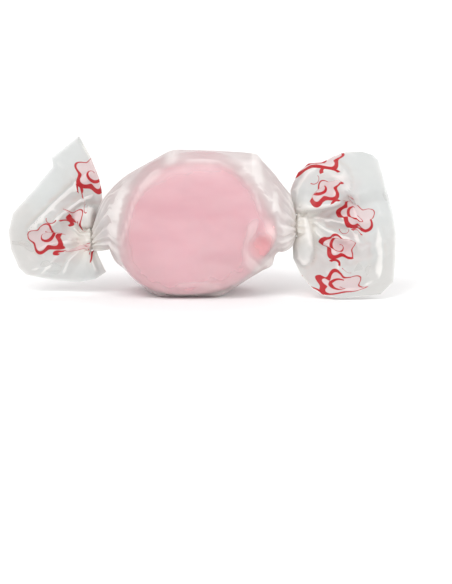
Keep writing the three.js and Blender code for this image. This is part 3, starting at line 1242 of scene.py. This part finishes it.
    def lay_print(self, mesh: bpy.types.Mesh, flat: np.ndarray) -> None:
        """Gives each corner of the paper its place on the flat sheet, without a jump at the seam.

        Args:
            mesh: The paper's mesh.
            flat: The place of each point of one wall on the flat sheet.
        """
        width = self.fans[0].print_width
        loops = np.zeros(len(mesh.loops), np.int32)
        mesh.loops.foreach_get("vertex_index", loops)
        corner = self.both_walls(flat).reshape(-1, 2)[loops]
        wrapped = corner[:, 0].reshape(-1, 4)
        spread = wrapped.max(axis=1, keepdims=True) - wrapped.min(axis=1, keepdims=True)
        behind = (spread > width / 2) & (wrapped < width / 2)
        corner[:, 0] = (wrapped + width * behind).ravel()
        mesh.uv_layers.new(name="flat_sheet").data.foreach_set("uv", corner.astype(np.float32).ravel())

    def build(self, candy: bpy.types.Object, material: bpy.types.Material) -> bpy.types.Object:
        """Makes the paper as one closed thin shell and puts it in place of its solid.

        Args:
            candy: The finished candy.
            material: The paper's finish.

        Returns:
            The paper.
        """
        places, relief, flat = self.sheet()
        outer, touch = self.drawn_over(places, relief, candy)
        inner = outer - self.outward(outer) * self.thickness
        vertices = np.concatenate([outer, inner[::-1]]) * MM
        shape = vertices.shape[:2]
        row, column = np.indices(shape)
        after, beside = (row + 1) % shape[0], (column + 1) % self.columns
        corners = ((row, column), (row, beside), (after, beside), (after, column))
        faces = np.stack([down * self.columns + across for down, across in corners], axis=-1)
        mesh = bpy.data.meshes.new("waxed_wrapper")
        mesh.from_pydata(vertices.reshape(-1, 3).tolist(), [], faces.reshape(-1, 4).tolist())
        mesh.update()
        mesh.materials.append(material)
        mesh.shade_smooth()
        self.sharpen(mesh, len(outer))
        self.lay_print(mesh, flat)
        layers = {
            "touch": self.both_walls(touch),
            "tucked": self.both_walls(self.tucked(outer)),
            "sunk": self.both_walls(self.sunk(outer)),
            "inner_side": (row >= len(outer)),
        }
        for name, values in layers.items():
            layer = mesh.attributes.new(name, "FLOAT", "POINT")
            layer.data.foreach_set("value", values.astype(np.float32).ravel())
        made = linked("waxed_wrapper", mesh)
        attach(made, BODY)
        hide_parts("wrapper")
        return made


def colour(red: int, green: int, blue: int) -> Colour:
    """A display colour as the linear numbers that a shader takes.

    Args:
        red: The red part, from 0 to 255.
        green: The green part.
        blue: The blue part.

    Returns:
        The colour, with nothing see-through.
    """
    shares = [part / 255 for part in (red, green, blue)]
    linear = [s / 12.92 if s <= 0.04045 else ((s + 0.055) / 1.055) ** 2.4 for s in shares]
    return *linear, 1.0


@dataclass(frozen=True)
class RosettePrint(TreeInputs):
    """The print on the sheet: a row of wavy rosettes, a curl in each, with small rings between."""

    period: float = sized(8.0)
    row: float = sized(7.4)
    stagger: float = sized(1.5)
    radius: float = sized(2.6)
    stroke: float = sized(0.45)
    lobes: float = 5.0
    lobe_turn: float = 1.7
    lobe_depth: float = 0.17
    pen_turn: float = 0.9
    pen_swell: Point2 = (0.45, 0.62)
    thin_share: float = 0.62
    curl: Point2 = (0.085, 0.4)
    ring_drop: float = 0.4
    ring_share: float = 0.3
    outline_soft: Point2 = (0.06, 0.06)
    curl_soft: Point2 = (0.05, 0.05)
    ring_soft: Point2 = (0.02, 0.08)
    fill_share: float = 0.9

    def tree(self) -> bpy.types.NodeTree:
        """Builds the shader group.

        Returns:
            The group, which puts out the ink and the pale tint inside the rosettes.
        """
        sockets = {"Flat Sheet": "Vector", **dict.fromkeys(self.inputs(), "Float")}
        outputs = {"Ink": "Float", "Fill": "Float"}
        write = new_tree("Printed border", "ShaderNodeTree", sockets, outputs)
        size = write.given()
        around, inward, _ = write.split(size.flat_sheet)

        def length(first: Signal, second: Signal) -> Signal:
            """The slant of two sides."""
            return (first * first + second * second).put("SQRT")

        def line(off: Signal, half: Signal, soft: Point2) -> Signal:
            """A line of a half width where a number is near nought, its edges soft both ways."""
            return write.ramp(abs(off), half + soft[0], half - soft[1])

        cell = (around / size.period).put("ROUND")
        beside = around - cell * size.period
        odd = cell.put("PINGPONG", 1.0) * 2.0 - 1.0
        above = inward - (odd * size.stagger + size.row)
        angle = above.put("ARCTAN2", beside)
        distance = length(beside, above)
        waved = (angle * self.lobes + cell * self.lobe_turn).put("COSINE")
        rim = size.radius * (waved * self.lobe_depth + 1.0)
        swell = (angle - self.pen_turn).put("COSINE") * self.pen_swell[0] + self.pen_swell[1]
        stroke = size.stroke * swell
        thin = stroke * self.thin_share
        outline = line(distance - rim, stroke, self.outline_soft)
        wound = size.radius * (angle * self.curl[0] + self.curl[1])
        curl = line(distance - wound, thin, self.curl_soft)
        ring_distance = length(abs(beside) - size.period * 0.5, above + odd * self.ring_drop)
        ring = line(ring_distance - size.radius * self.ring_share, thin, self.ring_soft)
        ink = outline.put("MAXIMUM", curl).put("MAXIMUM", ring)
        fill = write.ramp(distance, rim, rim * self.fill_share)
        write.node("NodeGroupOutput", {"Ink": ink, "Fill": fill})
        return write.tree


@dataclass(frozen=True)
class WaxedPaper:
    """Thin waxed paper: milky where it stands off, clear where the candy wets it."""

    white: Colour = colour(219, 221, 220)
    shaded: Colour = colour(217, 212, 208)
    # Painted pink glow: the paper over the body is drawn pinker and lighter, standing in for the
    # candy's light coming through and bouncing onto it.
    blush: Colour = colour(230, 221, 219)
    # Painted light: the paper near the knots is drawn lighter, against the shade in its deep pleats.
    cream: Colour = colour(253, 248, 240)
    # Painted shade in the core of each knot, where the pleats crowd together.
    deep: Colour = colour(232, 200, 188)
    # Painted shade in the valleys of the folds.
    valley: Colour = colour(214, 200, 191)
    # Wax whitened on the crests of the folds, together with a painted highlight there.
    crest: Colour = colour(248, 246, 243)
    ink: Colour = colour(190, 8, 26)
    tint: Colour = colour(236, 206, 208)
    lifted_solid: float = 0.84
    touching_solid: float = 0.26
    inner_share: float = 0.25
    cloud_share: float = 0.5
    cream_share: float = 0.9
    deep_share: float = 0.25
    valley_share: float = 0.3
    crest_share: float = 0.7
    crest_solid: float = 0.2
    tint_share: float = 0.6
    ink_solid: float = 0.95
    cloud_solid: float = 0.1
    grain_solid: float = 0.12
    blush_share: float = 0.75
    blush_start: float = 17.0
    blush_full: float = 13.5
    cloud_scale: float = 90.0
    grain_scale: float = 260.0
    grain_detail: float = 3.0
    crinkle_scale: float = 420.0
    clouds: Point2 = (0.35, 0.7)
    knots: Point2 = (0.85, 1.0)
    valleys: Point2 = (0.12, 1.0)
    crests: Point2 = (-0.08, -0.8)
    crinkles: Point2 = (0.0, 0.25)
    crinkle_height: float = 0.5
    grain_height: float = 0.8
    least_rough: float = 0.36
    grain_rough: float = 0.2
    bump_strength: float = 0.22
    bump_rise: float = 0.12
    glow: float = 0.28
    border: RosettePrint = RosettePrint()

    def material(self) -> bpy.types.Material:
        """Builds the paper's material.

        Returns:
            The material.
        """
        made, write = new_material("waxed_paper")
        sheet_map = write.output("ShaderNodeUVMap", uv_map="flat_sheet")
        inputs = {"Flat Sheet": sheet_map, **self.border.inputs()}
        printed = write.node("ShaderNodeGroup", inputs, node_tree=self.border.tree())
        ink, fill = (Signal(write, socket) for socket in printed.outputs)
        names = ("touch", "tucked", "sunk", "inner_side")
        touch, tucked, sunk, inner = (write.attribute(name) for name in names)
        place = write.output("ShaderNodeTexCoord", port="Object")
        grain = write.noise(place, self.grain_scale, self.grain_detail)
        clouded = write.ramp(write.noise(place, self.cloud_scale), *self.clouds)
        off_middle = abs(write.split(place)[0])
        # Painted pink glow over the body, fading out towards the necks.
        glow_over_body = write.ramp(off_middle, self.blush_start * MM, self.blush_full * MM)
        sheet_white = write.blend(clouded * self.cloud_share, self.white, self.shaded)
        pink_glowed = write.blend(glow_over_body * self.blush_share, sheet_white, self.blush)
        # Painted light near the knots, by the tucked attribute.
        gathered = write.blend(tucked * self.cream_share, pink_glowed, self.cream)
        # Painted shade at the cores of the knots.
        knot = write.ramp(tucked, *self.knots) * self.deep_share
        knot_lit_and_shaded = write.blend(knot, gathered, self.deep)
        # Painted shade in the valleys of the folds, with less of it near the knots.
        untucked = tucked * -self.valley_share + self.valley_share
        valley_shaded = write.blend(write.ramp(sunk, *self.valleys) * untucked, knot_lit_and_shaded, self.valley)
        # Whiter, more solid crests: wax whitened at the folds, plus a painted highlight.
        crest = write.ramp(sunk, *self.crests) * self.crest_share
        crest_whitened_and_highlit = write.blend(crest, valley_shaded, self.crest)
        filled = write.blend(fill * self.tint_share, crest_whitened_and_highlit, self.tint)
        inked = write.blend(ink, filled, self.ink)
        even = touch * (self.touching_solid - self.lifted_solid) + self.lifted_solid
        uneven = (clouded - 0.5) * self.cloud_solid + (grain - 0.5) * self.grain_solid
        solid = crest * self.crest_solid + even + uneven
        share = inner * (self.inner_share - 1.0) + 1.0
        alpha = solid.put("MAXIMUM", ink * self.ink_solid).put("MULTIPLY", share, clamp=True)
        cells = {"Vector": place, "Scale": self.crinkle_scale}
        crinkle = write.output("ShaderNodeTexVoronoi", cells, "Distance", feature="DISTANCE_TO_EDGE")
        crinkled = write.ramp(crinkle, *self.crinkles) * self.crinkle_height
        height = crinkled + grain * self.grain_height
        sheen = write.output("ShaderNodeBsdfPrincipled", {
            "Base Color": inked,
            "Roughness": grain * self.grain_rough + self.least_rough,
            "Normal": write.bumped(height, self.bump_strength, self.bump_rise * MM),
        })
        glow = write.output("ShaderNodeBsdfTranslucent", {"Color": inked})
        both = write.output("ShaderNodeMixShader", {0: self.glow, 1: sheen, 2: glow})
        clear = write.output("ShaderNodeBsdfTransparent")
        seen = write.output("ShaderNodeMixShader", {0: alpha, 1: clear, 2: both})
        write.node("ShaderNodeOutputMaterial", {0: seen})
        return made


@dataclass(frozen=True)
class PulledSugar:
    """The candy's finish: soft pink, faintly streaked by the pulling."""

    pink: Colour = colour(212, 149, 161)
    pale: Colour = colour(220, 166, 176)
    deep: Colour = colour(232, 142, 151)
    # Painted highlight: the bulge right of the dimple is drawn paler pink.
    squeezed: Colour = colour(248, 204, 208)
    dimple_radius: float = 2.7
    squeezed_place: Point2 = (12.8, 11.0)
    squeezed_radius: float = 2.9
    full_share: float = 0.2
    front_start: float = 1.5
    front_full: float = 4.0
    streak_scale: Point3 = (90.0, 300.0, 220.0)
    streak_turn: float = 24.0
    bump_strength: float = 0.1
    bump_rise: float = 0.2
    glow: float = 0.3
    glow_radius: Point3 = (1.0, 0.45, 0.4)
    glow_scale: float = 1.5
    streaks: Point2 = (0.3, 0.7)
    least_rough: float = 0.36
    streak_rough: float = 0.2

    def material(self) -> bpy.types.Material:
        """Builds the candy's material.

        Returns:
            The material.
        """
        made, write = new_material("pulled_sugar")
        place = write.output("ShaderNodeTexCoord", port="Object")
        turn = (0.0, self.streak_turn * DEGREE, 0.0)
        mapped = {"Vector": place, "Scale": self.streak_scale, "Rotation": turn}
        streaks = write.noise(write.output("ShaderNodeMapping", mapped), 1.0)
        front = write.ramp(write.split(place)[1], -self.front_start * MM, -self.front_full * MM)
        onto_face = {0: place, 1: (1.0, 0.0, 1.0)}
        flat = write.output("ShaderNodeVectorMath", onto_face, operation="MULTIPLY")

        def near(centre: Point2, radius: float) -> Signal:
            """How close the front is to a point of the face, from 0 at the radius to 1.

            Args:
                centre: The point, along the wrapper and up.
                radius: How far it reaches.

            Returns:
                The share.
            """
            points = {0: flat, 1: (centre[0] * MM, 0.0, centre[1] * MM)}
            off = write.output("ShaderNodeVectorMath", points, "Value", operation="DISTANCE")
            return write.ramp(off, radius * MM, self.full_share * radius * MM) * front

        pulled = write.blend(write.ramp(streaks, *self.streaks), self.pink, self.pale)
        # Painted highlight on the bulge beside the dimple.
        bulge_lit = write.blend(near(self.squeezed_place, self.squeezed_radius), pulled, self.squeezed)
        sugar = write.output("ShaderNodeBsdfPrincipled", {
            "Base Color": write.blend(near(DIMPLE, self.dimple_radius), bulge_lit, self.deep),
            "Roughness": streaks * self.streak_rough + self.least_rough,
            "Normal": write.bumped(streaks, self.bump_strength, self.bump_rise * MM),
            "Subsurface Weight": self.glow,
            "Subsurface Radius": self.glow_radius,
            "Subsurface Scale": self.glow_scale * MM,
        })
        write.node("ShaderNodeOutputMaterial", {0: sugar})
        return made


@dataclass
class Studio:
    """A plain pale floor, soft lamps and the camera. The lamps' places and sizes are in metres."""

    distance: float = 600.0
    elevation: float = 10.5
    target: Point3 = (4.83, 0.0, -0.034)
    frame_width: float = 75.33
    sensor: float = 36.0
    floor_half: float = 2.0
    floor_colour: Colour = colour(246, 246, 246)
    floor_rough: float = 0.9
    floor_gloss: float = 0.1
    sky: float = 0.62
    lamp_size: float = 0.8
    lamp_aim: Point3 = (0.0, 0.0, 0.01)
    lamps: tuple[tuple[str, Point3, float], ...] = (
        ("key", (-0.5, -0.65, 0.85), 7.0),
        ("fill", (0.8, -0.6, 0.5), 5.0),
        ("rim", (0.1, 0.8, 0.9), 5.0),
    )

    def floor(self) -> None:
        """Adds the floor."""
        corners = [(x * self.floor_half, y * self.floor_half, 0.0)
                   for x, y in ((-1, -1), (1, -1), (1, 1), (-1, 1))]
        mesh = bpy.data.meshes.new("floor")
        mesh.from_pydata(corners, [], [(0, 1, 2, 3)])
        material, write = new_material("floor")
        shader = write.output("ShaderNodeBsdfPrincipled", {
            "Base Color": self.floor_colour,
            "Roughness": self.floor_rough,
            "Specular IOR Level": self.floor_gloss,
        })
        write.node("ShaderNodeOutputMaterial", {0: shader})
        mesh.materials.append(material)
        made = linked("floor", mesh)

    def lights(self) -> None:
        """Adds the square soft lamps, turned to the candy, and the even light from all round."""
        for name, place, watts in self.lamps:
            data = bpy.data.lights.new(name, "AREA")
            data.size = self.lamp_size
            data.energy = watts
            made = linked(name, data)
            made.location = place
            aim = Vector(self.lamp_aim) - made.location
            made.rotation_euler = aim.to_track_quat("-Z", "Y").to_euler()
        world = bpy.data.worlds.new("studio")
        world.use_nodes = True
        background = world.node_tree.nodes["Background"]
        background.inputs["Color"].default_value = (1.0, 1.0, 1.0, 1.0)
        background.inputs["Strength"].default_value = self.sky
        bpy.context.scene.world = world

    def camera(self) -> None:
        """Adds the camera at the photograph's angle."""
        data = bpy.data.cameras.new("camera")
        data.sensor_fit = "HORIZONTAL"
        data.sensor_width = self.sensor
        data.lens = self.sensor * self.distance / self.frame_width
        made = linked("camera", data)
        angle = math.radians(self.elevation)
        back = Vector((0.0, -math.cos(angle), math.sin(angle)))
        made.location = (Vector(self.target) + back * self.distance) * MM
        made.rotation_euler = (-back).to_track_quat("-Z", "Y").to_euler()
        bpy.context.scene.camera = made

    def build(self) -> None:
        """Adds everything round the object."""
        self.floor()
        self.lights()
        self.camera()
        bpy.context.scene.view_settings.view_transform = "Standard"


def write_sizes() -> None:
    """Updates the view layer, so the placed objects are current."""
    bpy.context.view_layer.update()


def main() -> None:
    """Builds the candy, its paper and the studio."""
    logging.basicConfig(level=logging.INFO, format="%(name)s: %(message)s")
    Studio().build()
    candy = Taffy().build(PulledSugar().material())
    log.info("%s: %d faces", candy.name, len(candy.data.polygons))
    paper = Wrapper().build(candy, WaxedPaper().material())
    log.info("%s: %d faces", paper.name, len(paper.data.polygons))
    write_sizes()


if __name__ == "__main__":
    main()
